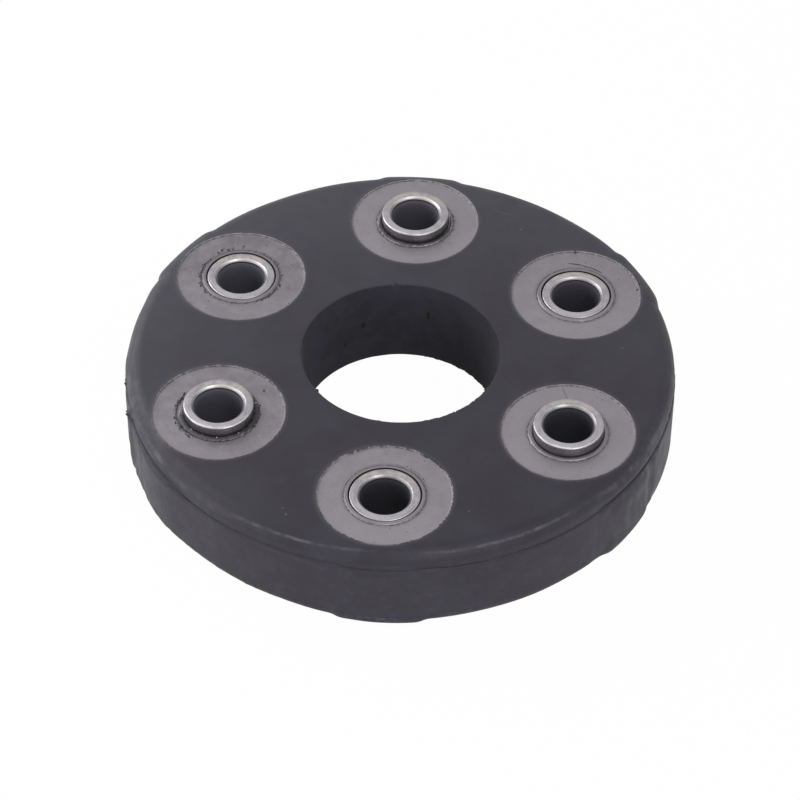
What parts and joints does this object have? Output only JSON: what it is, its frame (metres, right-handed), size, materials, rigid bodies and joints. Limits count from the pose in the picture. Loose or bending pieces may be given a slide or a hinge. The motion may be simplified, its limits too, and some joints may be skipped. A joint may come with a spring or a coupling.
{
  "type": "driveshaft flex disc",
  "caption": "Round rubber coupling disc with a centre opening, steel bolt sleeves in flanged collars on one circle and cord loops inside, which joins the flanges of a driveshaft.",
  "frame": {"origin": "middle of the disc, on the driveshaft axis and half way between its two faces", "axes": "+Z along the driveshaft axis, out of the face that the picture shows; +Y through sleeve_2, a sleeve that is raised towards +Z"},
  "size_m": [0.1394, 0.1412, 0.0306],
  "materials": {
    "rubber": "satin moulded rubber, lightly scuffed",
    "sleeve_steel": "bright turned steel",
    "collar_steel": "dull grey steel with faint brown stains",
    "cord": "wound cord"
  },
  "bodies": {
    "root": {"sleeve_1": "sleeve_steel", "upper_collar_1": "collar_steel", "lower_collar_1": "collar_steel", "spacer_disc_1": "collar_steel", "sleeve_2": "sleeve_steel", "upper_collar_2": "collar_steel", "lower_collar_2": "collar_steel", "spacer_disc_2": "collar_steel", "sleeve_3": "sleeve_steel", "upper_collar_3": "collar_steel", "lower_collar_3": "collar_steel", "spacer_disc_3": "collar_steel", "sleeve_4": "sleeve_steel", "upper_collar_4": "collar_steel", "lower_collar_4": "collar_steel", "spacer_disc_4": "collar_steel", "sleeve_5": "sleeve_steel", "upper_collar_5": "collar_steel", "lower_collar_5": "collar_steel", "spacer_disc_5": "collar_steel", "sleeve_6": "sleeve_steel", "upper_collar_6": "collar_steel", "lower_collar_6": "collar_steel", "spacer_disc_6": "collar_steel", "cord_loop_1_2": "cord", "cord_loop_2_3": "cord", "cord_loop_3_4": "cord", "cord_loop_4_5": "cord", "cord_loop_5_6": "cord", "cord_loop_6_1": "cord", "rubber_body": "rubber"}
  },
  "joints": []
}
